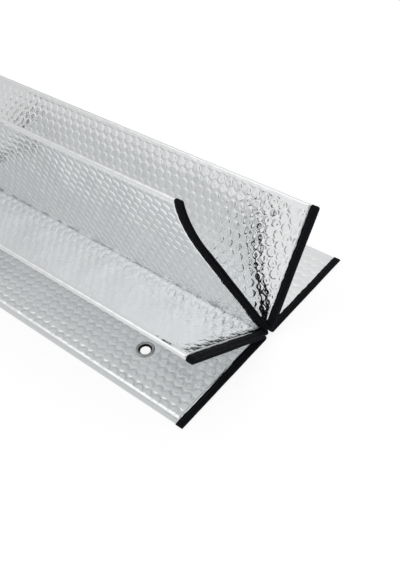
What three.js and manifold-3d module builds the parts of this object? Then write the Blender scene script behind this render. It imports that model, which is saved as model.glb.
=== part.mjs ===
// A folding windscreen sunshade of aluminised bubble foil, standing part opened like a fan.
// One sheet of eight panels is folded seven times. Black woven tape binds its top and bottom
// edges, and each corner has a metal eyelet.
// Millimetres, +Z up. X runs across the folds and Y along them, with the top edge at -Y.
// The origin is under the middle of the shade, on the surface that it stands on.

import * as THREE from "three";
import { mergeVertices } from "three/addons/utils/BufferGeometryUtils.js";
import Module from "manifold-3d";

const wasm = await Module();
wasm.setup();

const degrees = THREE.MathUtils.degToRad;

// The sheet
const PANEL_WIDTH = 162.5; // fold to fold
const SHADE_LENGTH = 600; // top edge to bottom edge, along the folds
const FOIL_THICK = 3;
const PAIR_GAP = 1.4; // air between the two panels of a closed pair
const PAIR_LEAN = [31.5, 83.9, 124.7].map(degrees); // of each closed pair, from the first panel
const SIDE_MARGIN = 7; // sealed flat along the two side edges
const SEALED_THICK = 1.4; // foil with its bubbles pressed out
const RELIEF_RAMP = 3; // where pressed foil swells back to its full thickness

// The rear-view mirror notch, centred on the middle ridge
const NOTCH_SLANT = degrees(42); // of its straight sides
const NOTCH_ROUND = 98; // radius of its rounded middle

// The binding tape
const TAPE_WIDTH = 10; // on each face
const TAPE_THICK = 0.6;
const TAPE_BEVEL = 0.8; // at the tape's two outer corners

// The eyelets
const EYELET_FROM_SIDE = 60; // side edge to the eyelet's centre
const EYELET_FROM_END = 110; // top or bottom edge to the eyelet's centre
const EYELET_HOLE_RADIUS = 6.5;
const EYELET_FLANGE_RADIUS = 12;
const EYELET_DOME = 1.2; // height of the rolled flange above the foil
const METAL_THICK = 0.6;

const FIT_GAP = 0.3; // between pieces that touch

// How finely round shapes are divided
const FOLD_STEPS = 8;
const NOTCH_STEPS = 16;
const EYELET_SIDES = 24;

const PANEL_COUNT = 2 * PAIR_LEAN.length + 2;
const FOLD_RADIUS = (FOIL_THICK + PAIR_GAP) / 2; // at the middle of the foil
const HALF_THICK = FOIL_THICK / 2;
const HALF_SEALED = SEALED_THICK / 2;
const HALF_UNDER_TAPE = HALF_THICK - TAPE_THICK - FIT_GAP;
const HALF_UNDER_METAL = HALF_THICK - METAL_THICK - FIT_GAP;
const MIDDLE_RIDGE_RUN = (PANEL_COUNT / 2) * PANEL_WIDTH;

const foilMaterial = new THREE.MeshStandardMaterial({
  color: 0xd3d7d9,
  metalness: 0.85,
  roughness: 0.32,
});
const tapeMaterial = new THREE.MeshStandardMaterial({
  color: 0x17181b,
  metalness: 0,
  roughness: 0.9,
});
const metalMaterial = new THREE.MeshStandardMaterial({
  color: 0xb9b7b2,
  metalness: 1,
  roughness: 0.28,
});

// The turn at each fold in order, in radians: positive bends up and back, negative over a ridge.
function foldTurns() {
  const turns = [];
  let previous = 0;
  for (const lean of PAIR_LEAN) {
    turns.push(Math.PI - (lean - previous), -Math.PI);
    previous = lean;
  }
  turns.push(previous);
  return turns;
}

// The straight runs of foil between the stations on one panel, in order.
function panelStrides(panel, length) {
  const margin = [SIDE_MARGIN, RELIEF_RAMP];
  const inner = length - SIDE_MARGIN - RELIEF_RAMP;
  if (panel === 0) return [...margin, inner];
  if (panel === PANEL_COUNT - 1) return [inner, ...margin.reverse()];
  const besideNotch = panel === PANEL_COUNT / 2 - 1 || panel === PANEL_COUNT / 2;
  const steps = besideNotch ? NOTCH_STEPS : 1;
  return Array(steps).fill(length / steps);
}

// Walks along the middle of the folded foil, from the first panel's outer edge to the last
// one's. Each station holds a point, the heading there and the length of foil run so far.
// The last pair's ridge sits off the pair's middle by half of slip.
function walkSection(slip) {
  const turns = foldTurns();
  const halfBend = (fold) => (Math.abs(turns[fold] ?? 0) * FOLD_RADIUS) / 2;
  const here = { x: 0, z: HALF_THICK, heading: 0, run: 0 };
  const stations = [{ ...here }];

  const goStraight = (strides) => {
    for (const stride of strides) {
      here.x += stride * Math.cos(here.heading);
      here.z += stride * Math.sin(here.heading);
      here.run += stride;
      stations.push({ ...here });
    }
  };
  const goRound = (turn) => {
    const side = Math.sign(turn);
    const centreX = here.x - side * FOLD_RADIUS * Math.sin(here.heading);
    const centreZ = here.z + side * FOLD_RADIUS * Math.cos(here.heading);
    for (let step = 0; step < FOLD_STEPS; step++) {
      here.heading += turn / FOLD_STEPS;
      here.x = centreX + side * FOLD_RADIUS * Math.sin(here.heading);
      here.z = centreZ - side * FOLD_RADIUS * Math.cos(here.heading);
      here.run += (Math.abs(turn) / FOLD_STEPS) * FOLD_RADIUS;
      stations.push({ ...here });
    }
  };

  for (let panel = 0; panel < PANEL_COUNT; panel++) {
    let length = PANEL_WIDTH - halfBend(panel - 1) - halfBend(panel);
    if (panel === PANEL_COUNT - 3) length -= slip / 2;
    if (panel === PANEL_COUNT - 2) length += slip / 2;
    goStraight(panelStrides(panel, length));
    if (panel < turns.length) goRound(turns[panel]);
  }
  return stations;
}

// The folded section, with the first and last panels flat on the ground and X centred.
function foldedSection() {
  const evenPairs = walkSection(0);
  const rise = evenPairs.at(-1).z - HALF_THICK;
  const stations = walkSection(rise / Math.sin(PAIR_LEAN.at(-1)));
  const middle = stations.at(-1).x / 2;
  for (const station of stations) station.x -= middle;
  return stations;
}

// How deep the notch cuts in from the top edge, at a length of foil from the middle ridge.
function notchDepth(fromRidge) {
  if (fromRidge >= PANEL_WIDTH) return 0;
  const slope = Math.tan(NOTCH_SLANT);
  const roundRun = NOTCH_ROUND * Math.sin(NOTCH_SLANT);
  if (fromRidge >= roundRun) return slope * (PANEL_WIDTH - fromRidge);
  const crown = Math.sqrt(NOTCH_ROUND ** 2 - fromRidge ** 2) - NOTCH_ROUND * Math.cos(NOTCH_SLANT);
  return slope * (PANEL_WIDTH - roundRun) + crown;
}

// Adds the top edge's place to each station, and how much a slanting edge stretches, along Y,
// whatever is measured square to it.
function addTopEdge(stations) {
  for (const station of stations) {
    const fromRidge = Math.abs(station.run - MIDDLE_RIDGE_RUN);
    station.top = -SHADE_LENGTH / 2 + notchDepth(fromRidge);
  }
  stations.forEach((station, i) => {
    const before = stations[Math.max(i - 1, 0)];
    const after = stations[Math.min(i + 1, stations.length - 1)];
    const slope = (after.top - before.top) / (after.run - before.run);
    station.stretch = Math.hypot(1, slope);
  });
  return stations;
}

// Adds half the foil's thickness to each station: less along the two side edges.
function addThickness(stations) {
  const wholeRun = stations.at(-1).run;
  for (const station of stations) {
    const fromSide = Math.min(station.run, wholeRun - station.run);
    station.half = fromSide < SIDE_MARGIN + RELIEF_RAMP / 2 ? HALF_SEALED : HALF_THICK;
  }
  return stations;
}

// Sweeps a ring of points [y, off] along the section, where off is square to the foil, and
// closes both ends. A ring runs anticlockwise with Y to the right and off upwards.
function sweep(stations, ringAt) {
  const rings = stations.map(ringAt);
  const count = rings[0].length;
  const positions = [];
  stations.forEach(({ x, z, heading }, k) => {
    for (const [y, off] of rings[k]) {
      positions.push(x - off * Math.sin(heading), y, z + off * Math.cos(heading));
    }
  });
  const faces = [];
  for (let k = 0; k + 1 < stations.length; k++) {
    for (let i = 0; i < count; i++) {
      const a = k * count + i;
      const b = k * count + ((i + 1) % count);
      faces.push(a, b, b + count, a, b + count, a + count);
    }
  }
  const capOf = (ring) =>
    THREE.ShapeUtils.triangulateShape(ring.map(([y, off]) => new THREE.Vector2(y, off)), []);
  for (const [a, b, c] of capOf(rings[0])) faces.push(c, b, a);
  const last = (stations.length - 1) * count;
  for (const [a, b, c] of capOf(rings.at(-1))) faces.push(last + a, last + b, last + c);
  const geometry = new THREE.BufferGeometry();
  geometry.setAttribute("position", new THREE.Float32BufferAttribute(positions, 3));
  geometry.setIndex(faces);
  return geometry;
}

// The foil's section along Y: a pressed tongue inside each tape, and full thickness between.
function foilRing({ top, stretch, half }) {
  const bottom = SHADE_LENGTH / 2;
  const tongue = TAPE_THICK + FIT_GAP;
  const shoulder = TAPE_WIDTH + FIT_GAP;
  const full = shoulder + RELIEF_RAMP;
  const under = [
    [top + tongue * stretch, -HALF_UNDER_TAPE],
    [top + shoulder * stretch, -HALF_UNDER_TAPE],
    [top + full * stretch, -half],
    [bottom - full, -half],
    [bottom - shoulder, -HALF_UNDER_TAPE],
    [bottom - tongue, -HALF_UNDER_TAPE],
  ];
  const over = under.map(([y, off]) => [y, -off]).reverse();
  return [...under, ...over];
}

// A tape's section: a U folded over an edge. y = 0 is its outer face, and it opens to +Y.
function tapeSection(stretch) {
  const width = TAPE_WIDTH * stretch;
  const web = TAPE_THICK * stretch;
  const slot = HALF_UNDER_TAPE + FIT_GAP;
  const under = [
    [0, TAPE_BEVEL - HALF_THICK],
    [TAPE_BEVEL, -HALF_THICK],
    [width, -HALF_THICK],
    [width, -slot],
    [web, -slot],
  ];
  const over = under.map(([y, off]) => [y, -off]).reverse();
  return [...under, ...over];
}

const topTapeRing = ({ top, stretch }) => tapeSection(stretch).map(([y, off]) => [top + y, off]);

const bottomTapeRing = () =>
  tapeSection(1)
    .map(([y, off]) => [SHADE_LENGTH / 2 - y, off])
    .reverse();

// A geometry as a solid that can be cut, and back.
function toSolid(geometry) {
  const bare = geometry.clone();
  bare.deleteAttribute("normal");
  bare.deleteAttribute("uv");
  const merged = mergeVertices(bare);
  return new wasm.Manifold(
    new wasm.Mesh({
      numProp: 3,
      vertProperties: new Float32Array(merged.attributes.position.array),
      triVerts: new Uint32Array(merged.index.array),
    }),
  );
}

function toGeometry(solid) {
  const mesh = solid.getMesh();
  const geometry = new THREE.BufferGeometry();
  geometry.setAttribute("position", new THREE.BufferAttribute(mesh.vertProperties, 3));
  geometry.setIndex(new THREE.BufferAttribute(mesh.triVerts, 1));
  return geometry;
}

function uprightCylinder(radius, low, high, x, y) {
  const cylinder = new THREE.CylinderGeometry(radius, radius, high - low, EYELET_SIDES);
  cylinder.rotateX(Math.PI / 2);
  cylinder.translate(x, y, (low + high) / 2);
  return toSolid(cylinder);
}

// The four eyelet centres, on the two outer panels.
function eyeletPlaces(stations) {
  const side = stations.at(-1).x - EYELET_FROM_SIDE;
  const end = SHADE_LENGTH / 2 - EYELET_FROM_END;
  return [
    { corner: "left_top", x: -side, y: -end },
    { corner: "left_bottom", x: -side, y: end },
    { corner: "right_top", x: side, y: -end },
    { corner: "right_bottom", x: side, y: end },
  ];
}

function makeFoilSheet(stations) {
  let sheet = toSolid(sweep(stations, foilRing));
  const hole = EYELET_HOLE_RADIUS + METAL_THICK + FIT_GAP;
  const seat = EYELET_FLANGE_RADIUS + FIT_GAP;
  const seatFloor = HALF_THICK - HALF_UNDER_METAL;
  const seatRoof = HALF_THICK + HALF_UNDER_METAL;
  for (const { x, y } of eyeletPlaces(stations)) {
    sheet = sheet.subtract(uprightCylinder(hole, -FOIL_THICK, 2 * FOIL_THICK, x, y));
    sheet = sheet.subtract(uprightCylinder(seat, -FOIL_THICK, seatFloor, x, y));
    sheet = sheet.subtract(uprightCylinder(seat, seatRoof, 2 * FOIL_THICK, x, y));
  }
  return new THREE.Mesh(toGeometry(sheet), foilMaterial);
}

// The end of the barrel flares out at 45 degrees into the washer's cone, and locks it.
const FLARE = METAL_THICK;

function makeEyelet() {
  const inner = EYELET_HOLE_RADIUS;
  const outer = inner + METAL_THICK;
  const seat = HALF_UNDER_METAL + FIT_GAP;
  const crest = HALF_THICK + EYELET_DOME;
  const flangeMiddle = (outer + EYELET_FLANGE_RADIUS) / 2;
  const profile = [
    [EYELET_FLANGE_RADIUS, seat],
    [EYELET_FLANGE_RADIUS, HALF_THICK],
    [(flangeMiddle + EYELET_FLANGE_RADIUS) / 2, HALF_THICK + 0.8 * EYELET_DOME],
    [flangeMiddle, crest],
    [outer, HALF_THICK + 0.7 * EYELET_DOME],
    [inner, seat],
    [inner, FLARE - HALF_THICK],
    [inner + FLARE, -HALF_THICK],
    [outer + FLARE, -HALF_THICK],
    [outer, FLARE - HALF_THICK],
    [outer, seat],
  ];
  return turned(profile);
}

function makeWasher() {
  const cone = EYELET_HOLE_RADIUS + METAL_THICK + FIT_GAP;
  const seat = HALF_UNDER_METAL + FIT_GAP;
  const profile = [
    [EYELET_FLANGE_RADIUS, -HALF_THICK],
    [EYELET_FLANGE_RADIUS, -seat],
    [cone, -seat],
    [cone + FLARE, -HALF_THICK],
  ];
  return turned(profile);
}

// Turns a closed profile of [radius, height] about an upright axis.
function turned(profile) {
  const points = [...profile, profile[0]].map(([radius, height]) => new THREE.Vector2(radius, height));
  const mesh = new THREE.Mesh(new THREE.LatheGeometry(points, EYELET_SIDES), metalMaterial);
  mesh.rotation.x = Math.PI / 2;
  return mesh;
}

const stations = addThickness(addTopEdge(foldedSection()));
const group = new THREE.Group();

const foilSheet = makeFoilSheet(stations);
foilSheet.name = "foil_sheet";
group.add(foilSheet);

const topBinding = new THREE.Mesh(sweep(stations, topTapeRing), tapeMaterial);
topBinding.name = "top_binding";
group.add(topBinding);

const bottomBinding = new THREE.Mesh(sweep(stations, bottomTapeRing), tapeMaterial);
bottomBinding.name = "bottom_binding";
group.add(bottomBinding);

for (const { corner, x, y } of eyeletPlaces(stations)) {
  const fitting = new THREE.Group();
  fitting.position.set(x, y, HALF_THICK);
  const eyelet = makeEyelet();
  eyelet.name = "eyelet_" + corner;
  const washer = makeWasher();
  washer.name = "washer_" + corner;
  fitting.add(eyelet, washer);
  group.add(fitting);
}

export default group;
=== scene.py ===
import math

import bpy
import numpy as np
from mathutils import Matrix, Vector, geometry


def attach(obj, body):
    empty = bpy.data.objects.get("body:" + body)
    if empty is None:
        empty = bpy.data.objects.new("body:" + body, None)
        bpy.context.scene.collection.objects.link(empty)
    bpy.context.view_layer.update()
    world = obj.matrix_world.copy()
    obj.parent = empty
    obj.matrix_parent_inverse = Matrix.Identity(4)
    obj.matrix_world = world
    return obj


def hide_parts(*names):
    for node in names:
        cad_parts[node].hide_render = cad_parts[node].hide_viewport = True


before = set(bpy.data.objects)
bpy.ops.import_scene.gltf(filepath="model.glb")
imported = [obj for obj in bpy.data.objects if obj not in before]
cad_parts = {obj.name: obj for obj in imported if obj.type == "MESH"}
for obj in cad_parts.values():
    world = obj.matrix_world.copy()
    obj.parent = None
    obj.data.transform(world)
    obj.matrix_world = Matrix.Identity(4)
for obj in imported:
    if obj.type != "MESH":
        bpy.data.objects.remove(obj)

# The looks of a folding windscreen sunshade of aluminised bubble foil with black woven binding
# and metal eyelets. Sizes are in millimetres and become metres where a mesh is made. A place on
# the foil is its run, the length of foil from the first side edge, its y, along the folds, and
# its off, the distance from the middle of the foil towards the face that shows in every opening.

# The start-up objects go first, so that the box is the CAD's alone
for start_up in ("Cube", "Light", "Camera"):
    if start_up in bpy.data.objects:
        bpy.data.objects.remove(bpy.data.objects[start_up])
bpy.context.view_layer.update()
METRES = 0.001

# The sheet
PANEL_WIDTH = 162.5
SHADE_LENGTH = 600.0
FOIL_THICK = 3.0
PAIR_GAP = 1.4
PAIR_LEAN = [math.radians(lean) for lean in (31.5, 83.9, 124.7)]
SIDE_MARGIN = 7.0
SEALED_THICK = 1.4
PRESSED_THICK = 1.0  # inside the tape
TONGUE_END = 1.5  # from the shade's edge to the foil's own edge, inside the tape
NOTCH_SLANT = math.radians(42)
NOTCH_ROUND = 98.0
TAPE_WIDTH = 10.0
EYELET_FROM_SIDE = 60.0
EYELET_FROM_END = 110.0
EYELET_HOLE_RADIUS = 6.5
EYELET_FLANGE_RADIUS = 12.0
FOIL_HOLE_RADIUS = 9.3  # hidden under the flange, and clear of the flared barrel

PANEL_COUNT = 2 * len(PAIR_LEAN) + 2
FOLD_RADIUS = (FOIL_THICK + PAIR_GAP) / 2
HALF_THICK = FOIL_THICK / 2
HALF_SEALED = SEALED_THICK / 2
HALF_PRESSED = PRESSED_THICK / 2
HALF_LENGTH = SHADE_LENGTH / 2
MIDDLE_RIDGE_RUN = PANEL_COUNT / 2 * PANEL_WIDTH

# The bubbles, in rows along the folds: the film's height at each reach from a bubble's centre,
# and the dimple in its top, as shares of its depth
BUBBLE_PITCH = 13.5
ROW_PITCH = BUBBLE_PITCH * math.sqrt(3) / 2
BUBBLE_REACH = [0, 1.2, 2.6, 4.2, 5.2, 5.8, 6.75]
BUBBLE_SHAPE = [0, -0.01, -0.05, -0.12, -0.19, -0.46, -0.50]
DIMPLE_REACH = [0, 1.2, 2.6]
DIMPLE_SHAPE = [-1, -0.55, 0]
DIMPLE_DEPTH = 0.11
TILT = 0.013  # how far a bubble's top is usually out of level, as a slope
DROOP = 0.012  # how much the tops slope down away from the top edge
TILT_FADE = (3.4, 5.6)  # where a top's tilt ends, from the bubble's centre

# Panel by panel, how high the bubbles stand, and near the top edge how deep the dimples in their
# tops are and how far the tops tilt. Further in, the dimples and tilts are alike on all panels.
RELIEF_SHARE = [1, 1, 0.18, 0.7, 1, 1, 1, 0.5]
DIMPLE_SHARE = [1, 1, 1, 1, 1, 2.6, 1, 1]
TILT_SHARE = [1, 1, 1, 1, 1, 4.5, 1, 1]
ALIKE_SPAN = (60, 220)

# How the foil swells to its full thickness, and how its bubbles set in, over these spans from
# the tape, the sealed margin, the folds and the eyelets' flanges
TAPE_SWELL_SPAN = (0, 1.5)
MARGIN_SWELL_SPAN = (0, 2)
TAPE_BUBBLE_SPAN = (0.5, 4.5)
MARGIN_BUBBLE_SPAN = (1.5, 5)
FOLD_BUBBLE_SPAN = (1.5, 5)
EYELET_BUBBLE_SPAN = (1, 5)

# The smaller forms of the foil: a depth or height, and the span over which it ends
EYELET_DENT = 0.45
EYELET_DENT_SPAN = (0, 3)
GROOVE = 0.5  # along each fold
GROOVE_SPAN = (0, 1.6)
WRINKLE = 0.09  # beside each fold
WRINKLE_SPAN = (0, 5)
SEAL_BEAD = 0.06  # along the middle of the sealed margin
SEAL_BEAD_REACH = 0.6
BOW = 0.22
FINE_BOW = 0.07
BOW_FOLD_SPAN = (0, 45)
BOW_EYELET_SPAN = (14, 60)
BOW_SIDE_SPAN = (0, 30)
CREASE_SHADE_WANDER = 0.5  # how far the painted shade line of a valley fold strays from its middle
CREASE_SHADE_PATCHY = 0.35
CREASE_SHADE_SPAN = (0.4, 1.9)

# Random waves, each as a seed and its shortest and longest wave
WAVE_COUNT = 14
BOW_WAVES = (3, 55, 160)
FINE_BOW_WAVES = (5, 18, 45)
WRINKLE_WAVES = (11, 5, 16)
WANDER_WAVES = (31, 18, 70)
PATCHY_WAVES = (33, 10, 40)

# The binding. One face of its cross-section from the inner edge to the fold, as the distance in
# from the shade's edge and the distance from the foil's middle, with a dip where the seam runs.
TAPE_FACE = [
    (10.0, 1.0), (9.95, 1.3), (9.6, 1.5), (8.6, 1.66), (7.5, 1.74),
    (6.9, 1.66), (6.5, 1.56), (6.1, 1.66), (5.5, 1.78), (4.2, 1.86),
    (2.6, 1.84), (1.5, 1.72), (0.8, 1.45), (0.3, 1.0), (0.06, 0.45),
]
TAPE_SLOT = 0.7  # from the foil's middle to the tape's hidden faces
TAPE_WEB = 0.9  # the tape's thickness at its fold
OUTER_FACE = 0.8  # further from the foil's middle than this is an outer face
FLAT_SHARE = 0.8  # the under face's thickness against the upper one's, on the ground
PRESSED_SHARE = 1.15  # the same where two tapes of a pair meet
PRESSED_SPAN = (0, 8)
RAGGED = 0.24  # how far the tape's inner edges stray
RAGGED_SPAN = (7.5, 9.8)
RAGGED_LENGTHS = (5, 17)
SWELL_HEIGHT = 0.06  # the slow waves of the upper face
SWELL_LENGTHS = (6, 20)
TAPE_SEED = 20
END_PAST = 0.7  # how far a tape reaches past the foil's side edge
END_PINCH = 0.62  # how thick its closed end is, as a share
END_SLOT_PINCH = 0.06

# The stitches, each as rings of points: how far along it, how thick and how far it stands out
SEAM_FROM_EDGE = 6.5
SEAM_LEVEL = 1.52
STITCH_PITCH = 3.1
STITCH_LENGTH = 2.5
STITCH_SIDES = 6
THREAD_RADIUS = 0.24
STITCH_RINGS = [(-0.5, 0.35, 0.0), (-0.32, 1, 0.14), (0.32, 1, 0.14), (0.5, 0.35, 0.0)]

# The eyelets' and washers' sections, as radius and height over the foil's middle
FLANGE_WIDTH = 3.4
FLANGE_SEAT = 1.2
FLANGE_CROWN = 1.4
FLANGE_POINTS = 15
EYELET_BARREL = [
    (8.4, 0.9), (8.0, 0.3), (7.3, -0.4), (6.7, -0.9),
    (EYELET_HOLE_RADIUS, -1.15), (6.62, -1.36), (6.9, -1.45), (7.4, -1.47),
]
EYELET_OUTSIDE = [(7.6, -1.3), (7.5, -0.9), (8.1, -0.2), (8.8, 0.6), (9.3, 0.95), (11.6, 0.95)]
WASHER = [
    (12.0, -1.05), (12.0, -1.3), (11.8, -1.46), (11.4, -1.5), (8.3, -1.5),
    (7.9, -1.4), (7.55, -1.0), (7.7, -0.92), (11.8, -0.92),
]
# Where painted shade darkens the barrels of the eyelets and washers, as spans of radius and height
BARREL_SHADE_RADIUS_SPAN = (8.3, 8.9)
BARREL_SHADE_HEIGHT_SPAN = (1.0, 1.9)

# How finely the meshes are divided. A ring round a bubble is a radius and a count of points.
FINE_RINGS = [(1.2, 7), (2.6, 12), (4.2, 14), (5.2, 17), (5.8, 17)]
COARSE_RINGS = [(2.6, 7), (4.6, 9), (5.7, 9)]
EDGE_BAND = 3.0  # the band along the tape, the margin and the eyelets with points of its own
EDGE_ROWS = np.array([
    TONGUE_END, TAPE_WIDTH - 0.4, TAPE_WIDTH + 0.7, TAPE_WIDTH + 1.8, TAPE_WIDTH + EDGE_BAND,
])
SIDE_COLUMNS = [1.0, 2.2, 2.9, 3.5, 4.1, 4.8, 6.0, SIDE_MARGIN, 7.6, 8.3, 9.2]
FOLD_COLUMNS = [0.7, 1.6]
EYELET_RADII = [FOIL_HOLE_RADIUS] + [EYELET_FLANGE_RADIUS + step for step in (-1, 0, 0.7, 1.5, 2.4)]
EDGE_STEP = 2.7
COLUMN_STEP = 5.0
HIDDEN_STEP = 9.0
TAPE_STEP = 3.0
RIDGE_STEPS = 12
VALLEY_STEPS = 10
EYELET_SIDES = 72
RING_CLEAR = (0.9, 2.3, 0.7)  # from a piece's borders, the folds and the rows along the tape
HIDDEN_CLEAR = (3, 5, 3)

# The camera
IMAGE_WIDTH = 400
IMAGE_HEIGHT = 570
FOCAL_PIXELS = 690.9
SENSOR = 36.0
CAMERA_PLACE = (-475.9, -612.7, 650.9)
CAMERA_YAW = math.radians(48.42)
CAMERA_PITCH = math.radians(44.46)
CAMERA_ROLL = math.radians(-4.06)

# The studio's light: a direction, and how the light changes on the way towards it, as the span
# of the cosine to that direction and the levels at its two ends
STUDIO = [
    ((-0.38, -0.42, 0.825), (0.67, 0.80), (1.0, 0.42)),
    ((0.0, 1.0, 0.0), (0.44, 0.75), (1.0, 0.70)),
    ((1.0, 0.0, 0.0), (0.30, 0.75), (1.0, 0.78)),
    ((-0.8, 0.35, 0.48), (0.86, 0.96), (1.0, 0.88)),
    ((-0.05, 0.45, 0.89), (0.84, 0.97), (1.0, 1.17)),
]
FLOOR_SEEN = 1.13
FLOOR_MIRRORED = 0.83
FLOOR_GLOW_SHARE = 0.75
FLOOR_REACH = 12.0  # metres
FLOOR_DROP = 0.0003  # metres
NOISE_SPAN = (0.3, 0.7)  # where most of a noise pattern lies


def add_camera():
    """A camera at the photograph's place, tilted down and a little to one side."""
    forward = Vector((
        math.sin(CAMERA_YAW) * math.cos(CAMERA_PITCH),
        math.cos(CAMERA_YAW) * math.cos(CAMERA_PITCH),
        -math.sin(CAMERA_PITCH),
    ))
    level = Vector((math.cos(CAMERA_YAW), -math.sin(CAMERA_YAW), 0))
    upright = level.cross(forward)
    right = math.cos(CAMERA_ROLL) * level + math.sin(CAMERA_ROLL) * upright
    up = math.cos(CAMERA_ROLL) * upright - math.sin(CAMERA_ROLL) * level
    lens = bpy.data.cameras.new("camera")
    lens.sensor_width = SENSOR
    lens.lens = FOCAL_PIXELS * SENSOR / max(IMAGE_WIDTH, IMAGE_HEIGHT)
    lens.clip_end = 100
    camera = bpy.data.objects.new("camera", lens)
    turn = Matrix((right, up, -forward)).transposed().to_4x4()
    camera.matrix_world = Matrix.Translation(Vector(CAMERA_PLACE) * METRES) @ turn
    bpy.context.scene.collection.objects.link(camera)
    bpy.context.scene.camera = camera


# Small helpers with numbers


def smoothstep(value, low, high):
    share = np.clip((value - low) / (high - low), 0, 1)
    return share * share * (3 - 2 * share)


def ripple(waves, run, y):
    """Smooth random waves of about unit height."""
    seed, shortest, longest = waves
    rng = np.random.default_rng(seed)
    total = np.zeros(np.broadcast(run, y).shape)
    for _ in range(WAVE_COUNT):
        length = rng.uniform(shortest, longest)
        heading = rng.uniform(0, 2 * math.pi)
        across = run * math.cos(heading) + y * math.sin(heading)
        total += np.cos(2 * math.pi * across / length + rng.uniform(0, 2 * math.pi))
    return total / math.sqrt(WAVE_COUNT / 2)


def around(run, y, radius, angle):
    """Places at one radius from a centre, or from each of many centres."""
    return np.stack([run + radius * np.cos(angle), y + radius * np.sin(angle)], -1)


# The folded section


def fold_turns():
    """The turn at each fold in order: positive bends up and back, negative over a ridge."""
    turns = []
    previous = 0
    for lean in PAIR_LEAN:
        turns += [math.pi - (lean - previous), -math.pi]
        previous = lean
    return turns + [previous]


def walk_section(slip):
    """Straight and bent legs along the middle of the foil, as rows of run, x, z, heading and
    turn, and the height where the walk ends. The last pair's ridge is off by half of slip."""
    turns = fold_turns()
    bends = [0] + [abs(turn) * FOLD_RADIUS for turn in turns] + [0]
    run, x, z, heading = 0.0, 0.0, HALF_THICK, 0.0
    legs = []
    for panel in range(PANEL_COUNT):
        length = PANEL_WIDTH - (bends[panel] + bends[panel + 1]) / 2
        length += {PANEL_COUNT - 3: -slip / 2, PANEL_COUNT - 2: slip / 2}.get(panel, 0)
        legs.append((run, x, z, heading, 0.0))
        x += length * math.cos(heading)
        z += length * math.sin(heading)
        run += length
        if panel == len(turns):
            break
        turn = turns[panel]
        legs.append((run, x, z, heading, turn))
        radius = math.copysign(FOLD_RADIUS, turn)
        x += radius * (math.sin(heading + turn) - math.sin(heading))
        z -= radius * (math.cos(heading + turn) - math.cos(heading))
        heading += turn
        run += bends[panel + 1]
    legs.append((run, x, z, heading, 0.0))
    return np.array(legs), z


def folded_section():
    """The section as it stands, with both outer panels on the ground and x centred."""
    rise = walk_section(0)[1] - HALF_THICK
    legs = walk_section(rise / math.sin(PAIR_LEAN[-1]))[0]
    legs[:, 1] -= legs[-1, 1] / 2
    return legs


LEGS = folded_section()
STARTS = LEGS[:, 0]
WHOLE_RUN = STARTS[-1]
BEND_LEGS = [k for k in range(len(LEGS) - 1) if LEGS[k, 4]]
VALLEYS = [(STARTS[k] + STARTS[k + 1]) / 2 for k in BEND_LEGS if LEGS[k, 4] > 0]

EYELET_RUNS = {"left": EYELET_FROM_SIDE, "right": WHOLE_RUN - EYELET_FROM_SIDE}
EYELET_YS = {"top": EYELET_FROM_END - HALF_LENGTH, "bottom": HALF_LENGTH - EYELET_FROM_END}
EYELETS = {
    side + "_" + end: (run, y) for side, run in EYELET_RUNS.items() for end, y in EYELET_YS.items()
}


def on_section(run):
    """The foil's middle at each run: x, z and heading."""
    leg = np.clip(np.searchsorted(STARTS, run, side="right") - 1, 0, len(LEGS) - 2)
    start, x, z, heading, turn = np.moveaxis(LEGS[leg], -1, 0)
    along = run - start
    straight = turn == 0
    radius = np.where(turn < 0, -FOLD_RADIUS, FOLD_RADIUS)
    after = heading + np.where(straight, 0, along / radius)
    bent_x = radius * (np.sin(after) - np.sin(heading))
    bent_z = radius * (np.cos(heading) - np.cos(after))
    x = x + np.where(straight, along * np.cos(heading), bent_x)
    z = z + np.where(straight, along * np.sin(heading), bent_z)
    return x, z, after


def notch_depth(from_ridge):
    """How deep the mirror notch cuts in from the top edge."""
    slope = math.tan(NOTCH_SLANT)
    round_run = NOTCH_ROUND * math.sin(NOTCH_SLANT)
    straight = slope * (PANEL_WIDTH - from_ridge)
    crown = np.sqrt(np.maximum(NOTCH_ROUND**2 - from_ridge**2, 0))
    rounded = slope * (PANEL_WIDTH - round_run) + crown - NOTCH_ROUND * math.cos(NOTCH_SLANT)
    return np.clip(np.where(from_ridge < round_run, rounded, straight), 0, None)


def top_edge(run):
    return notch_depth(np.abs(run - MIDDLE_RIDGE_RUN)) - HALF_LENGTH


def stretch(run):
    """How much a slanting edge stretches, along y, whatever is measured square to it."""
    reach = 1.5
    slope = (top_edge(run + reach) - top_edge(run - reach)) / (2 * reach)
    return np.hypot(1, slope)


def from_fold(run):
    """How far each run is from the nearest bent stretch."""
    gaps = [np.maximum(STARTS[k] - run, run - STARTS[k + 1]) for k in BEND_LEGS]
    return np.maximum(np.min(gaps, axis=0), 0)


def from_side(run):
    """How far each run is from the nearer side edge."""
    return np.minimum(run, WHOLE_RUN - run)


def from_edge(run, y):
    """How far each place is from the top or bottom edge, square to it."""
    return np.minimum((y - top_edge(run)) / stretch(run), HALF_LENGTH - y)


def from_eyelet(run, y):
    """How far each place is from the nearest eyelet's centre."""
    return np.min([np.hypot(run - u, y - v) for u, v in EYELETS.values()], axis=0)


# The bubbles and the foil's faces


BUBBLE_ROWS = int(WHOLE_RUN / ROW_PITCH) + 4
BUBBLE_COLUMNS = int(SHADE_LENGTH / BUBBLE_PITCH) + 6
BUBBLES = (BUBBLE_ROWS, BUBBLE_COLUMNS)
chance = np.random.default_rng(7)
SWELL = chance.uniform(0.75, 1.2, BUBBLES)
SINK = chance.uniform(0.4, 1.7, BUBBLES)
SPIN = chance.uniform(0, 2 * math.pi, BUBBLES)
CREASED = chance.uniform(0, 0.5, BUBBLES)
TILT_RUN = chance.normal(0, TILT, BUBBLES)
TILT_Y = chance.normal(-DROOP, TILT, BUBBLES)


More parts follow.
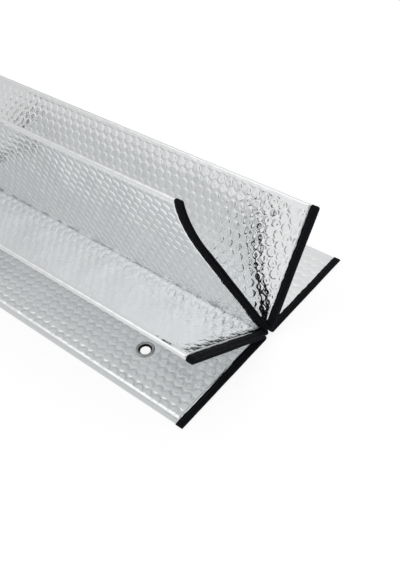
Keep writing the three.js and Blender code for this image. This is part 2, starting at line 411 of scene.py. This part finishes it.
def bubble_centre(row, column):
    """A bubble's place. Every other row is shifted by half a pitch."""
    y = (column - BUBBLE_COLUMNS // 2) * BUBBLE_PITCH + (row % 2) * BUBBLE_PITCH / 2
    return row * ROW_PITCH, y


def panel_share(shares, run):
    """The share of the panel that each run lies on."""
    panel = np.clip(run / WHOLE_RUN * PANEL_COUNT, 0, PANEL_COUNT - 1)
    return np.array(shares)[panel.astype(int)]


def relief(run, y):
    """The film's height at each place, 0 at a level bubble's top and less beside it."""
    own = 1 - smoothstep(y - top_edge(run), *ALIKE_SPAN)
    dimple_depth = DIMPLE_DEPTH * (1 + own * (panel_share(DIMPLE_SHARE, run) - 1))
    tilt_share = 1 + own * (panel_share(TILT_SHARE, run) - 1)
    near_row = np.round(run / ROW_PITCH).astype(int)
    closest = np.full(run.shape, np.inf)
    height = np.zeros(run.shape)
    for shift in (-1, 0, 1):
        row = np.clip(near_row + shift, 0, BUBBLE_ROWS - 1)
        first_y = bubble_centre(row, 0)[1]
        column = np.round((y - first_y) / BUBBLE_PITCH).astype(int)
        column = np.clip(column, 0, BUBBLE_COLUMNS - 1)
        centre_run, centre_y = bubble_centre(row, column)
        reach = np.hypot(run - centre_run, y - centre_y)
        angle = np.arctan2(y - centre_y, run - centre_run) - SPIN[row, column]
        crease = 1 + CREASED[row, column] * (np.cos(2 * angle) + np.cos(3 * angle + 1))
        dimple = np.interp(reach, DIMPLE_REACH, DIMPLE_SHAPE) * dimple_depth
        shape = np.interp(reach, BUBBLE_REACH, BUBBLE_SHAPE) * SWELL[row, column]
        shape = shape + dimple * SINK[row, column] * crease
        slope = TILT_RUN[row, column] * (run - centre_run) + TILT_Y[row, column] * (y - centre_y)
        shape = shape + slope * tilt_share * (1 - smoothstep(reach, *TILT_FADE))
        height = np.where(reach < closest, shape, height)
        closest = np.minimum(reach, closest)
    return height


def face_offset(run, y):
    """How far each face of the foil lies from its middle."""
    past_tape = from_edge(run, y) - TAPE_WIDTH
    past_margin = from_side(run) - SIDE_MARGIN
    past_fold = from_fold(run)
    past_eyelet = from_eyelet(run, y) - EYELET_FLANGE_RADIUS
    swollen = smoothstep(past_tape, *TAPE_SWELL_SPAN)
    open_share = smoothstep(past_margin, *MARGIN_SWELL_SPAN)
    open_half = HALF_SEALED + (HALF_THICK - HALF_SEALED) * open_share
    half = HALF_PRESSED + (open_half - HALF_PRESSED) * swollen
    half = half - EYELET_DENT * (1 - smoothstep(past_eyelet, *EYELET_DENT_SPAN))
    bubbled = smoothstep(past_tape, *TAPE_BUBBLE_SPAN)
    bubbled = bubbled * smoothstep(past_margin, *MARGIN_BUBBLE_SPAN)
    bubbled = bubbled * smoothstep(past_fold, *FOLD_BUBBLE_SPAN)
    bubbled = bubbled * smoothstep(past_eyelet, *EYELET_BUBBLE_SPAN)
    bubbled = bubbled * panel_share(RELIEF_SHARE, run)
    from_bead = from_side(run) - SIDE_MARGIN / 2
    seal = SEAL_BEAD * np.exp(-((from_bead / SEAL_BEAD_REACH) ** 2))
    wrinkle = WRINKLE * (1 - smoothstep(past_fold, *WRINKLE_SPAN)) * ripple(WRINKLE_WAVES, run, y)
    groove = GROOVE * (1 - smoothstep(past_fold, *GROOVE_SPAN))
    return half + bubbled * relief(run, y) + (seal + wrinkle - groove) * swollen


def bow(run, y):
    """The slow waves of the sheet, none at the folds and eyelets. The two outer panels lie on
    the ground, so they only bow upwards."""
    calm = smoothstep(from_fold(run), *BOW_FOLD_SPAN)
    calm = calm * smoothstep(from_eyelet(run, y), *BOW_EYELET_SPAN)
    calm = calm * smoothstep(from_side(run), *BOW_SIDE_SPAN)
    wave = BOW * ripple(BOW_WAVES, run, y) + FINE_BOW * ripple(FINE_BOW_WAVES, run, y)
    return calm * np.where(from_side(run) < PANEL_WIDTH, np.abs(wave), wave)


def valley_painted_shade(run, y):
    """How much painted shade darkens the film, up to 1 along the wandering line of each valley fold.
    """
    wander = run + CREASE_SHADE_WANDER * ripple(WANDER_WAVES, 0 * run, y)
    across = np.min([np.abs(wander - middle) for middle in VALLEYS], axis=0)
    patchy = np.clip(ripple(PATCHY_WAVES, 0 * run, y), -1, 1)
    return (1 - CREASE_SHADE_PATCHY + CREASE_SHADE_PATCHY * patchy) * (1 - smoothstep(across, *CREASE_SHADE_SPAN))


def place(run, y, off):
    """Places on the folded foil as points in metres."""
    x, z, heading = on_section(run)
    off = off + bow(run, y)
    points = np.stack([x - off * np.sin(heading), y, z + off * np.cos(heading)], axis=-1)
    return points * METRES


# Meshes


def make_mesh(name, points, faces, corners, material, sharp=50):
    """An object from points and faces of one corner count, smooth but for edges past sharp."""
    points = np.asarray(points, np.float32).reshape(-1, 3)
    faces = np.asarray(faces, np.int32).reshape(-1, corners)
    mesh = bpy.data.meshes.new(name)
    mesh.vertices.add(len(points))
    mesh.vertices.foreach_set("co", points.ravel())
    mesh.loops.add(faces.size)
    mesh.loops.foreach_set("vertex_index", faces.ravel())
    mesh.polygons.add(len(faces))
    mesh.polygons.foreach_set("loop_start", np.arange(0, faces.size, corners, dtype=np.int32))
    mesh.update(calc_edges=True)
    mesh.validate()
    mesh.polygons.foreach_set("use_smooth", np.ones(len(mesh.polygons), bool))
    mesh.set_sharp_from_angle(angle=math.radians(sharp))
    mesh.materials.append(material)
    piece = bpy.data.objects.new(name, mesh)
    bpy.context.scene.collection.objects.link(piece)
    return piece


def add_layer(piece, name, values):
    """Keeps one value for each point of a piece, for its material."""
    layer = piece.data.attributes.new(name, "FLOAT", "POINT")
    layer.data.foreach_set("value", values.astype(np.float32))


def add_developed(piece, places):
    """Keeps each point's place on the flat sheet, in metres, for the weave and the crinkles."""
    layer = piece.data.attributes.new("developed", "FLOAT_VECTOR", "POINT")
    flat = np.zeros((len(places), 3), np.float32)
    flat[:, :2] = np.asarray(places) * METRES
    layer.data.foreach_set("vector", flat.ravel())


def ring_quads(rings, count):
    """Quads between each closed ring of points and the next, and last from the last ring to
    the first."""
    start = np.arange(rings)[:, None] * count
    here = (start + np.arange(count)).ravel()
    beside = (start + (np.arange(count) + 1) % count).ravel()
    whole = rings * count
    return np.stack([here, beside, (beside + count) % whole, (here + count) % whole], -1)


def halved(quads):
    """Two triangles from each quad."""
    return np.concatenate([quads[:, [0, 1, 2]], quads[:, [0, 2, 3]]])


# The foil


def edge_ys(run):
    """The y of each row of points that follows the top or bottom edge, at one run."""
    return top_edge(run) + EDGE_ROWS * stretch(run), HALF_LENGTH - EDGE_ROWS[::-1]


def column_ys(run):
    """All the y of one whole column of points, at one run."""
    top, bottom = edge_ys(run)
    count = max(int((bottom[0] - top[-1]) / COLUMN_STEP), 1)
    middle = np.linspace(top[-1], bottom[0], count + 1)[1:-1]
    return np.concatenate([top, middle, bottom])


def piece_columns(low, high):
    """The runs of a piece's whole columns of points, and the runs between them that only have
    points along the top and bottom edges."""
    whole = [low, high]
    for k in BEND_LEGS:
        start, end = STARTS[k], STARTS[k + 1]
        steps = RIDGE_STEPS if LEGS[k, 4] < 0 else VALLEY_STEPS
        columns = [*np.linspace(start, end, steps + 1)]
        columns += [start - step for step in FOLD_COLUMNS] + [end + step for step in FOLD_COLUMNS]
        whole += [run for run in columns if low < run < high]
    for step in SIDE_COLUMNS:
        whole += [run for run in (step, WHOLE_RUN - step) if low < run < high]
    whole = np.unique(np.round(whole, 4))
    between = []
    for start, end in zip(whole[:-1], whole[1:]):
        count = int((end - start) / EDGE_STEP)
        if count > 1:
            between += list(np.linspace(start, end, count + 1)[1:-1])
    return whole, np.array(between)


def well_inside(low, high, run, y, clear):
    """Which places are clear of a piece's borders, of the folds and of the rows by the tape."""
    from_border, past_fold, past_band = clear
    inside = (run > low + from_border) & (run < high - from_border)
    inside &= from_fold(run) > past_fold
    return inside & (from_edge(run, y) > TAPE_WIDTH + EDGE_BAND + past_band)


def ring_points(low, high, rings):
    """Each bubble's centre, the rings round it and the corners that it shares with the bubbles
    beside it, between two runs."""
    rows = np.arange(int(low / ROW_PITCH), int(high / ROW_PITCH) + 2)
    grid = np.meshgrid(rows, np.arange(BUBBLE_COLUMNS), indexing="ij")
    row, column = [part.ravel() for part in grid]
    centre = bubble_centre(row, column)
    found = [np.stack(centre, axis=-1)]
    for radius, count in rings:
        for step in range(count):
            angle = SPIN[row, column] + 2 * math.pi * step / count
            found.append(around(*centre, radius, angle))
    for angle in (0, math.pi / 3):
        found.append(around(*centre, BUBBLE_PITCH / math.sqrt(3), angle))
    points = np.concatenate(found)
    run, y = points.T
    keep = well_inside(low, high, run, y, RING_CLEAR)
    keep &= from_side(run) > SIDE_MARGIN + EDGE_BAND
    keep &= from_eyelet(run, y) > EYELET_FLANGE_RADIUS + EDGE_BAND
    return points[keep]


def hidden_points(low, high):
    """A plain grid of points for a face that is shut inside a closed pair."""
    runs = np.arange(low, high, HIDDEN_STEP)
    ys = np.arange(-HALF_LENGTH, HALF_LENGTH, HIDDEN_STEP)
    run, y = [part.ravel() for part in np.meshgrid(runs, ys)]
    return np.stack([run, y], -1)[well_inside(low, high, run, y, HIDDEN_CLEAR)]


def eyelet_rings(run, y):
    """Rings of points round an eyelet's hole, the first of them the hole's own edge."""
    angle = np.linspace(0, 2 * math.pi, EYELET_SIDES // 2, endpoint=False)
    return [around(run, y, radius, -angle) for radius in EYELET_RADII]


def outline(whole, between):
    """The closed outline of a piece on the flat sheet, anticlockwise, from its first corner."""
    runs = np.unique(np.concatenate([whole, between]))
    top = [(run, edge_ys(run)[0][0]) for run in runs]
    bottom = [(run, edge_ys(run)[1][-1]) for run in runs[::-1]]
    right = [(whole[-1], y) for y in column_ys(whole[-1])[1:-1]]
    left = [(whole[0], y) for y in column_ys(whole[0])[-2:0:-1]]
    return np.array(top + right + bottom + left)


def row_points(whole, between):
    """The points of the whole columns and of the rows along the edges, inside the outline."""
    points = [(run, y) for run in whole[1:-1] for y in column_ys(run)[1:-1]]
    for run in between:
        top, bottom = edge_ys(run)
        points += [(run, y) for y in [*top[1:], *bottom[:-1]]]
    return np.array(points)


def triangulate(loops, inner):
    """All the points, and the triangles between the closed loops and the points inside them."""
    points = np.concatenate([*loops, inner])
    edges = []
    for loop in loops:
        first = len(edges)
        edges += [(first + k, first + (k + 1) % len(loop)) for k in range(len(loop))]
    corners = [Vector(point) for point in points]
    inside_only, same_place, with_origins = 1, 1e-7, True
    found = geometry.delaunay_2d_cdt(corners, edges, [], inside_only, same_place, with_origins)
    origin = np.array([source[0] for source in found[3]])
    faces = origin[np.array(found[2])]
    run, y = points[faces].mean(axis=1).T
    edge_slack = 0.3
    outside = y < top_edge(run) + TONGUE_END + edge_slack
    across_notch = (faces < len(loops[0])).all(axis=1) & outside
    return points, faces[(from_eyelet(run, y) > FOIL_HOLE_RADIUS) & ~across_notch]


def rim_faces(loops, lower, upper):
    """Triangles between two copies of the loops whose points start at lower and at upper."""
    faces = []
    first = 0
    for loop in loops:
        here = first + np.arange(len(loop))
        after = first + (np.arange(len(loop)) + 1) % len(loop)
        faces.append(np.stack([here + lower, after + lower, after + upper], -1))
        faces.append(np.stack([here + lower, after + upper, here + upper], -1))
        first += len(loop)
    return faces


def foil_piece(name, low, high, paired, material):
    """One closed piece of the foil sheet between two runs. The back of a closed pair is hidden,
    so it has no bubbles."""
    whole, between = piece_columns(low, high)
    loops = [outline(whole, between)]
    shared = [row_points(whole, between)]
    for run, y in EYELETS.values():
        if low < run < high:
            hole, *rings = eyelet_rings(run, y)
            loops.append(hole)
            shared += rings
    front_points = ring_points(low, high, FINE_RINGS)
    back_points = hidden_points(low, high) if paired else ring_points(low, high, COARSE_RINGS)
    front, front_faces = triangulate(loops, np.concatenate([*shared, front_points]))
    back, back_faces = triangulate(loops, np.concatenate([*shared, back_points]))
    rim = front[:sum(len(loop) for loop in loops)]

    back_off = -face_offset(*back.T)
    if paired:
        back_off = np.maximum(back_off, -HALF_THICK)
    laid = np.concatenate([front, back, rim])
    off = np.concatenate([face_offset(*front.T), back_off, np.zeros(len(rim))])
    middle = len(front) + len(back)
    faces = [front_faces, back_faces[:, ::-1] + len(front)]
    faces += rim_faces(loops, len(front), middle) + rim_faces(loops, middle, 0)
    piece = make_mesh(name, place(*laid.T, off), np.concatenate(faces), 3, material)
    add_developed(piece, laid)
    # The crease layer holds painted shade along the valley folds
    add_layer(piece, "crease", valley_painted_shade(*laid.T))
    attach(piece, "root")
    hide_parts("foil_sheet")
    return piece


def add_foil(material):
    """The foil sheet in five closed pieces that meet in the middle of its valley folds."""
    borders = [0.0, *VALLEYS, WHOLE_RUN]
    names = ["front_panel", "low_pair", "upright_pair", "high_pair", "back_panel"]
    for name, low, high in zip(names, borders[:-1], borders[1:]):
        single = high - low < 1.5 * PANEL_WIDTH
        piece = foil_piece(name, low, high, not single, material)


# The binding


def tape_runs():
    """The runs of a binding's cross-sections."""
    whole = [0.0, WHOLE_RUN]
    for k in BEND_LEGS:
        whole += list(np.linspace(STARTS[k], STARTS[k + 1], RIDGE_STEPS + 1))
    whole = np.unique(np.round(whole, 4))
    runs = []
    for start, end in zip(whole[:-1], whole[1:]):
        count = max(int((end - start) / TAPE_STEP), 1)
        runs.append(np.linspace(start, end, count, endpoint=False))
    return np.concatenate([*runs, [WHOLE_RUN]])


def tape_ring():
    """A tape's closed cross-section: its upper face, its under face and the slot for the foil."""
    face = np.array(TAPE_FACE)
    slot = [(TAPE_WIDTH, -TAPE_SLOT), (TAPE_WEB, -TAPE_SLOT)]
    slot += [(TAPE_WEB, TAPE_SLOT), (TAPE_WIDTH, TAPE_SLOT)]
    return np.concatenate([face, face[::-1] * (1, -1), slot])


def under_share(run):
    """How thick a tape's under face is against its upper one: flat where the sheet lies on the
    ground, and full where it meets the tape of the other panel of its pair."""
    from_outer = from_side(run) - PANEL_WIDTH
    return FLAT_SHARE + (PRESSED_SHARE - FLAT_SHARE) * smoothstep(from_outer, *PRESSED_SPAN)


def binding_stretch(run, at_top):
    return stretch(run) if at_top else np.ones(run.shape)


def binding_y(run, inward, at_top):
    """The y of a place that lies inward from the top or bottom edge, square to that edge."""
    if at_top:
        return top_edge(run) + inward * stretch(run)
    return HALF_LENGTH - inward + 0 * run


def closed_end(run, ring, side, at_top):
    """The last cross-section of a tape, pressed shut just past the foil's side edge."""
    inward, off = ring.T
    pinch = np.where(np.abs(off) > OUTER_FACE, END_PINCH, END_SLOT_PINCH)
    at_run = np.full(inward.shape, run)
    points = place(at_run, binding_y(at_run, inward, at_top), off * pinch)
    heading = on_section(at_run)[2]
    points[:, 0] += side * END_PAST * np.cos(heading) * METRES
    return points


def end_cap(ring):
    """Triangles that close a tape's cross-section."""
    polygon = [Vector((inward, off, 0)) for inward, off in ring]
    return np.array(geometry.tessellate_polygon([polygon]))


def add_binding(name, node, at_top, material):
    """Woven tape folded over one edge of the sheet, a little ragged at its inner edges."""
    ring = tape_ring()
    runs = tape_runs()
    run, inward = np.meshgrid(runs, ring[:, 0], indexing="ij")
    off = np.broadcast_to(ring[:, 1], run.shape)
    upper = off > 0
    outer = np.abs(off) > OUTER_FACE
    seed = TAPE_SEED + at_top
    ragged = [ripple((seed + other, *RAGGED_LENGTHS), run, 0 * run) for other in (0, 2)]
    inward = inward + RAGGED * np.where(upper, *ragged) * smoothstep(inward, *RAGGED_SPAN)
    swell = SWELL_HEIGHT * ripple((seed + 4, *SWELL_LENGTHS), run, inward)
    off = off + np.where(upper & outer, swell, 0)
    off = off * np.where(~upper & outer, under_share(run), 1)
    points = place(run, binding_y(run, inward, at_top), off)
    for column, side in ((0, -1), (-1, 1)):
        points[column] = closed_end(runs[column], ring, side, at_top)

    quads = ring_quads(len(runs), len(ring))[:-len(ring)]
    cap = end_cap(ring)
    if at_top:
        quads = quads[:, ::-1]
    else:
        cap = cap[:, ::-1]
    far_cap = cap[:, ::-1] + (len(runs) - 1) * len(ring)
    triangles = np.concatenate([halved(quads), cap, far_cap])
    piece = make_mesh(name, points, triangles, 3, material, sharp=60)
    add_developed(piece, np.stack([run.ravel(), inward.ravel()], -1))
    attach(piece, "root")
    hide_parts(node)


def stitch_runs(at_top):
    """The runs of a binding's stitches, evenly spaced along its edge and clear of the folds."""
    step = 0.5
    from_end = 2.0
    edge = np.arange(from_end, WHOLE_RUN - from_end, step)
    lengths = step * binding_stretch(edge, at_top)
    length = np.concatenate([[0], np.cumsum(lengths)[:-1]])
    runs = np.interp(np.arange(0, length[-1], STITCH_PITCH), length, edge)
    return runs[from_fold(runs) > STITCH_LENGTH / 2]


def stitch_faces():
    """The triangles of one stitch."""
    last = (len(STITCH_RINGS) - 1) * STITCH_SIDES
    quads = ring_quads(len(STITCH_RINGS), STITCH_SIDES)[:-STITCH_SIDES]
    ends = [(0, k + 1, k) for k in range(1, STITCH_SIDES - 1)]
    ends += [(last, last + k, last + k + 1) for k in range(1, STITCH_SIDES - 1)]
    return np.concatenate([halved(quads), ends])


def add_stitches(name, at_top, material):
    """A row of thread stitches in a binding's seam, and on the under face only where the sheet
    lies on the ground."""
    every = stitch_runs(at_top)
    under = every[from_side(every) < PANEL_WIDTH]
    along, girth, rise = np.array(STITCH_RINGS).T[:, :, None]
    angle = 2 * math.pi * np.arange(STITCH_SIDES) / STITCH_SIDES
    size = len(STITCH_RINGS) * STITCH_SIDES
    points = []
    faces = []
    first = 0
    for face, centres, level in ((1, every, SEAM_LEVEL), (-1, under, SEAM_LEVEL * FLAT_SHARE)):
        shrink = binding_stretch(centres, at_top)[:, None, None]
        run = centres[:, None, None] + along * STITCH_LENGTH / shrink + 0 * angle
        inward = SEAM_FROM_EDGE + girth * THREAD_RADIUS * np.cos(angle) + 0 * run
        off = face * (level + rise + girth * THREAD_RADIUS * np.sin(angle) + 0 * run)
        points.append(place(run, binding_y(run, inward, at_top), off).reshape(-1, 3))
        starts = (first + np.arange(len(centres))) * size
        order = 1 if (face > 0) == at_top else -1
        faces.append((stitch_faces()[:, ::order] + starts[:, None, None]).reshape(-1, 3))
        first += len(centres)
    piece = make_mesh(name, np.concatenate(points), np.concatenate(faces), 3, material)
    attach(piece, "root")


# The eyelets


def eyelet_profile():
    """The closed section of an eyelet: its rolled flange, flared barrel and clenched end."""
    reach = FLANGE_WIDTH / 2
    middle = EYELET_FLANGE_RADIUS - reach
    flange = [
        (middle + reach * math.cos(t), FLANGE_SEAT + FLANGE_CROWN * math.sin(t))
        for t in np.linspace(0, math.pi, FLANGE_POINTS)
    ]
    return flange + EYELET_BARREL + EYELET_OUTSIDE


def add_turned(name, node, profile, run, y, material):
    """A piece turned about an eyelet's axis, with painted shade down its barrel."""
    x = on_section(np.array([run]))[0][0]
    angle = 2 * math.pi * np.arange(EYELET_SIDES)[:, None] / EYELET_SIDES
    radius, height = np.array(profile).T
    across = x + radius * np.cos(angle)
    along = y + radius * np.sin(angle)
    points = np.stack([across, along, HALF_THICK + height + 0 * angle], -1) * METRES
    quads = ring_quads(EYELET_SIDES, len(profile))[:, [0, 3, 2, 1]]
    piece = make_mesh(name, points, quads, 4, material, sharp=70)
    # Painted shade: the inside of the barrel goes near black, as if it lay in shadow
    painted_barrel_shade = 1 - smoothstep(radius, *BARREL_SHADE_RADIUS_SPAN)
    painted_barrel_shade = painted_barrel_shade * (1 - smoothstep(height, *BARREL_SHADE_HEIGHT_SPAN))
    add_layer(piece, "painted_barrel_shade", np.tile(painted_barrel_shade, EYELET_SIDES))
    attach(piece, "root")
    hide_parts(node)


def add_eyelets(material):
    """An eyelet near each corner of the sheet, and its washer on the back."""
    for corner, (run, y) in EYELETS.items():
        add_turned("rolled_eyelet_" + corner, "eyelet_" + corner, eyelet_profile(), run, y, material)
        add_turned("plain_washer_" + corner, "washer_" + corner, WASHER, run, y, material)


# Materials


def new_material(name):
    """A new material, its node tree and its Principled shader."""
    material = bpy.data.materials.new(name)
    material.use_nodes = True
    return material, material.node_tree, material.node_tree.nodes["Principled BSDF"]


def fill(tree, node, inputs):
    """Gives a node's inputs their values, or links them to the outputs that feed them."""
    for name, value in inputs.items():
        if isinstance(value, bpy.types.NodeSocket):
            tree.links.new(value, node.inputs[name])
        else:
            node.inputs[name].default_value = value


def attribute(tree, name, output):
    """A value that the mesh keeps at its points."""
    layer = tree.nodes.new("ShaderNodeAttribute")
    layer.attribute_name = name
    return layer.outputs[output]


def noise(tree, vector, scale, detail=2.0):
    """A random pattern from 0 to 1. The scale is about how many spots it has to a metre."""
    texture = tree.nodes.new("ShaderNodeTexNoise")
    fill(tree, texture, {"Vector": vector, "Scale": scale, "Detail": detail})
    return texture.outputs["Fac"]


def spread(tree, source, span, levels, curve="LINEAR"):
    """Goes from one level to the other while the source goes over a span."""
    node = tree.nodes.new("ShaderNodeMapRange")
    node.interpolation_type = curve
    fill(tree, node, {"Value": source, "From Min": span[0], "From Max": span[1]})
    fill(tree, node, {"To Min": levels[0], "To Max": levels[1]})
    return node.outputs["Result"]


def combine(tree, operation, *values):
    """One number worked out from several, each a number or an output."""
    node = tree.nodes.new("ShaderNodeMath")
    node.operation = operation
    fill(tree, node, dict(enumerate(values)))
    return node.outputs[0]


def tint(tree, share, first, second):
    """A colour between two, by a share from 0 to 1."""
    mix = tree.nodes.new("ShaderNodeMix")
    mix.data_type = "RGBA"
    fill(tree, mix, {"Factor": share, "A": first, "B": second})
    return mix.outputs["Result"]


def bump(tree, height, distance, normal=None, strength=1.0):
    """Fine relief of a depth in metres, on top of other relief if there is any."""
    node = tree.nodes.new("ShaderNodeBump")
    fill(tree, node, {"Height": height, "Distance": distance, "Strength": strength})
    if normal:
        fill(tree, node, {"Normal": normal})
    return node.outputs["Normal"]


def foil_material():
    """Bright aluminised film with fine crinkles, a slightly uneven sheen and painted shade along the
    valley folds.
    """
    material, tree, shader = new_material("bubble_foil")
    flat = attribute(tree, "developed", "Vector")
    film = tint(tree, noise(tree, flat, 35), (0.845, 0.858, 0.864, 1), (0.872, 0.882, 0.888, 1))
    # Painted shade: the film turns dark grey along the valley folds
    film_with_crease_shade = tint(tree, attribute(tree, "crease", "Fac"), film, (0.30, 0.31, 0.32, 1))
    crinkle = bump(tree, noise(tree, flat, 240), 0.00014)
    fill(tree, shader, {
        "Metallic": 1.0,
        "Base Color": film_with_crease_shade,
        "Roughness": spread(tree, noise(tree, flat, 160, 3), NOISE_SPAN, (0.07, 0.13)),
        "Normal": bump(tree, noise(tree, flat, 90), 0.00006, crinkle),
    })
    return material


def tape_material():
    """Matt black woven tape."""
    material, tree, shader = new_material("woven_tape")
    flat = attribute(tree, "developed", "Vector")
    fibres = noise(tree, flat, 260, 3)
    weave = None
    for direction in ("X", "Y"):
        wave = tree.nodes.new("ShaderNodeTexWave")
        wave.wave_type = "BANDS"
        wave.bands_direction = direction
        fill(tree, wave, {"Vector": flat, "Scale": 260, "Distortion": 0.6, "Detail": 1})
        weave = bump(tree, wave.outputs["Fac"], 0.00018, weave, 0.7)
    fill(tree, shader, {
        "Specular IOR Level": 0.08,
        "Base Color": tint(tree, fibres, (0.004, 0.0045, 0.006, 1), (0.011, 0.012, 0.015, 1)),
        "Roughness": spread(tree, noise(tree, flat, 140), NOISE_SPAN, (0.62, 0.82)),
        "Normal": weave,
    })
    return material


def thread_material():
    """Black sewing thread, a little shinier than the tape."""
    material, tree, shader = new_material("thread")
    place_on = tree.nodes.new("ShaderNodeTexCoord").outputs["Object"]
    fibres = noise(tree, place_on, 900)
    fill(tree, shader, {
        "Specular IOR Level": 0.35,
        "Base Color": tint(tree, fibres, (0.010, 0.010, 0.011, 1), (0.03, 0.03, 0.032, 1)),
        "Roughness": spread(tree, noise(tree, place_on, 700), NOISE_SPAN, (0.45, 0.65)),
    })
    return material


def metal_material():
    """Nickel plate with faint scuffs, and near-black painted shade where it goes down the barrel."""
    material, tree, shader = new_material("nickel_plate")
    place_on = tree.nodes.new("ShaderNodeTexCoord").outputs["Object"]
    clouds = noise(tree, place_on, 500, 3)
    plated = tint(tree, clouds, (0.40, 0.40, 0.39, 1), (0.54, 0.54, 0.53, 1))
    # Near-black painted shade for the inside of the barrel
    dark = (0.012, 0.012, 0.013, 1)
    fill(tree, shader, {
        "Metallic": 1.0,
        "Base Color": tint(tree, attribute(tree, "painted_barrel_shade", "Fac"), plated, dark),
        "Roughness": spread(tree, noise(tree, place_on, 1400, 3), NOISE_SPAN, (0.18, 0.36)),
        "Normal": bump(tree, noise(tree, place_on, 900), 0.00004),
    })
    return material


# The surroundings


def add_world():
    """A white studio, greyer behind the object and on both sides of it, with a bright panel
    overhead and the dark ceiling above the camera."""
    world = bpy.data.worlds.new("studio")
    world.use_nodes = True
    tree = world.node_tree
    direction = tree.nodes.new("ShaderNodeTexCoord").outputs["Generated"]
    strength = 1.0
    for towards, span, levels in STUDIO:
        nearness = tree.nodes.new("ShaderNodeVectorMath")
        nearness.operation = "DOT_PRODUCT"
        fill(tree, nearness, {0: direction, 1: towards})
        level = spread(tree, nearness.outputs["Value"], span, levels, "SMOOTHSTEP")
        strength = combine(tree, "MULTIPLY", strength, level)
    fill(tree, tree.nodes["Background"], {"Color": (1, 1, 1, 1), "Strength": strength})
    bpy.context.scene.world = world


def floor_material():
    """White paper that keeps a soft shadow. To the camera it shows whiter than in reflections."""
    material, tree, shader = new_material("white_floor")
    fill(tree, shader, {"Base Color": (0.92, 0.92, 0.92, 1), "Roughness": 1.0})
    fill(tree, shader, {"Specular IOR Level": 0.0})
    rays = tree.nodes.new("ShaderNodeLightPath").outputs
    to_camera = rays["Is Camera Ray"]
    seen = to_camera
    for ray in ("Is Glossy Ray", "Is Transmission Ray"):
        seen = combine(tree, "MAXIMUM", seen, rays[ray])
    brighter = FLOOR_SEEN - FLOOR_MIRRORED
    strength = combine(tree, "MULTIPLY_ADD", to_camera, brighter, FLOOR_MIRRORED)
    glow = tree.nodes.new("ShaderNodeEmission")
    fill(tree, glow, {"Color": (1, 1, 1, 1), "Strength": strength})
    mix = tree.nodes.new("ShaderNodeMixShader")
    fill(tree, mix, {"Fac": combine(tree, "MULTIPLY", seen, FLOOR_GLOW_SHARE)})
    fill(tree, mix, {1: shader.outputs["BSDF"], 2: glow.outputs["Emission"]})
    tree.links.new(mix.outputs["Shader"], tree.nodes["Material Output"].inputs["Surface"])
    return material


def add_floor():
    """A wide floor just under the object."""
    signs = [(-1, -1), (1, -1), (1, 1), (-1, 1)]
    corners = [(x * FLOOR_REACH, y * FLOOR_REACH, -FLOOR_DROP) for x, y in signs]
    mesh = bpy.data.meshes.new("floor")
    mesh.from_pydata(corners, [], [(0, 1, 2, 3)])
    mesh.materials.append(floor_material())
    floor = bpy.data.objects.new("floor", mesh)
    bpy.context.scene.collection.objects.link(floor)


bpy.context.scene.view_settings.view_transform = "Standard"
add_camera()
add_foil(foil_material())
tape = tape_material()
thread = thread_material()
add_binding("top_tape", "top_binding", True, tape)
add_binding("bottom_tape", "bottom_binding", False, tape)
add_stitches("top_stitches", True, thread)
add_stitches("bottom_stitches", False, thread)
add_eyelets(metal_material())
add_world()
add_floor()
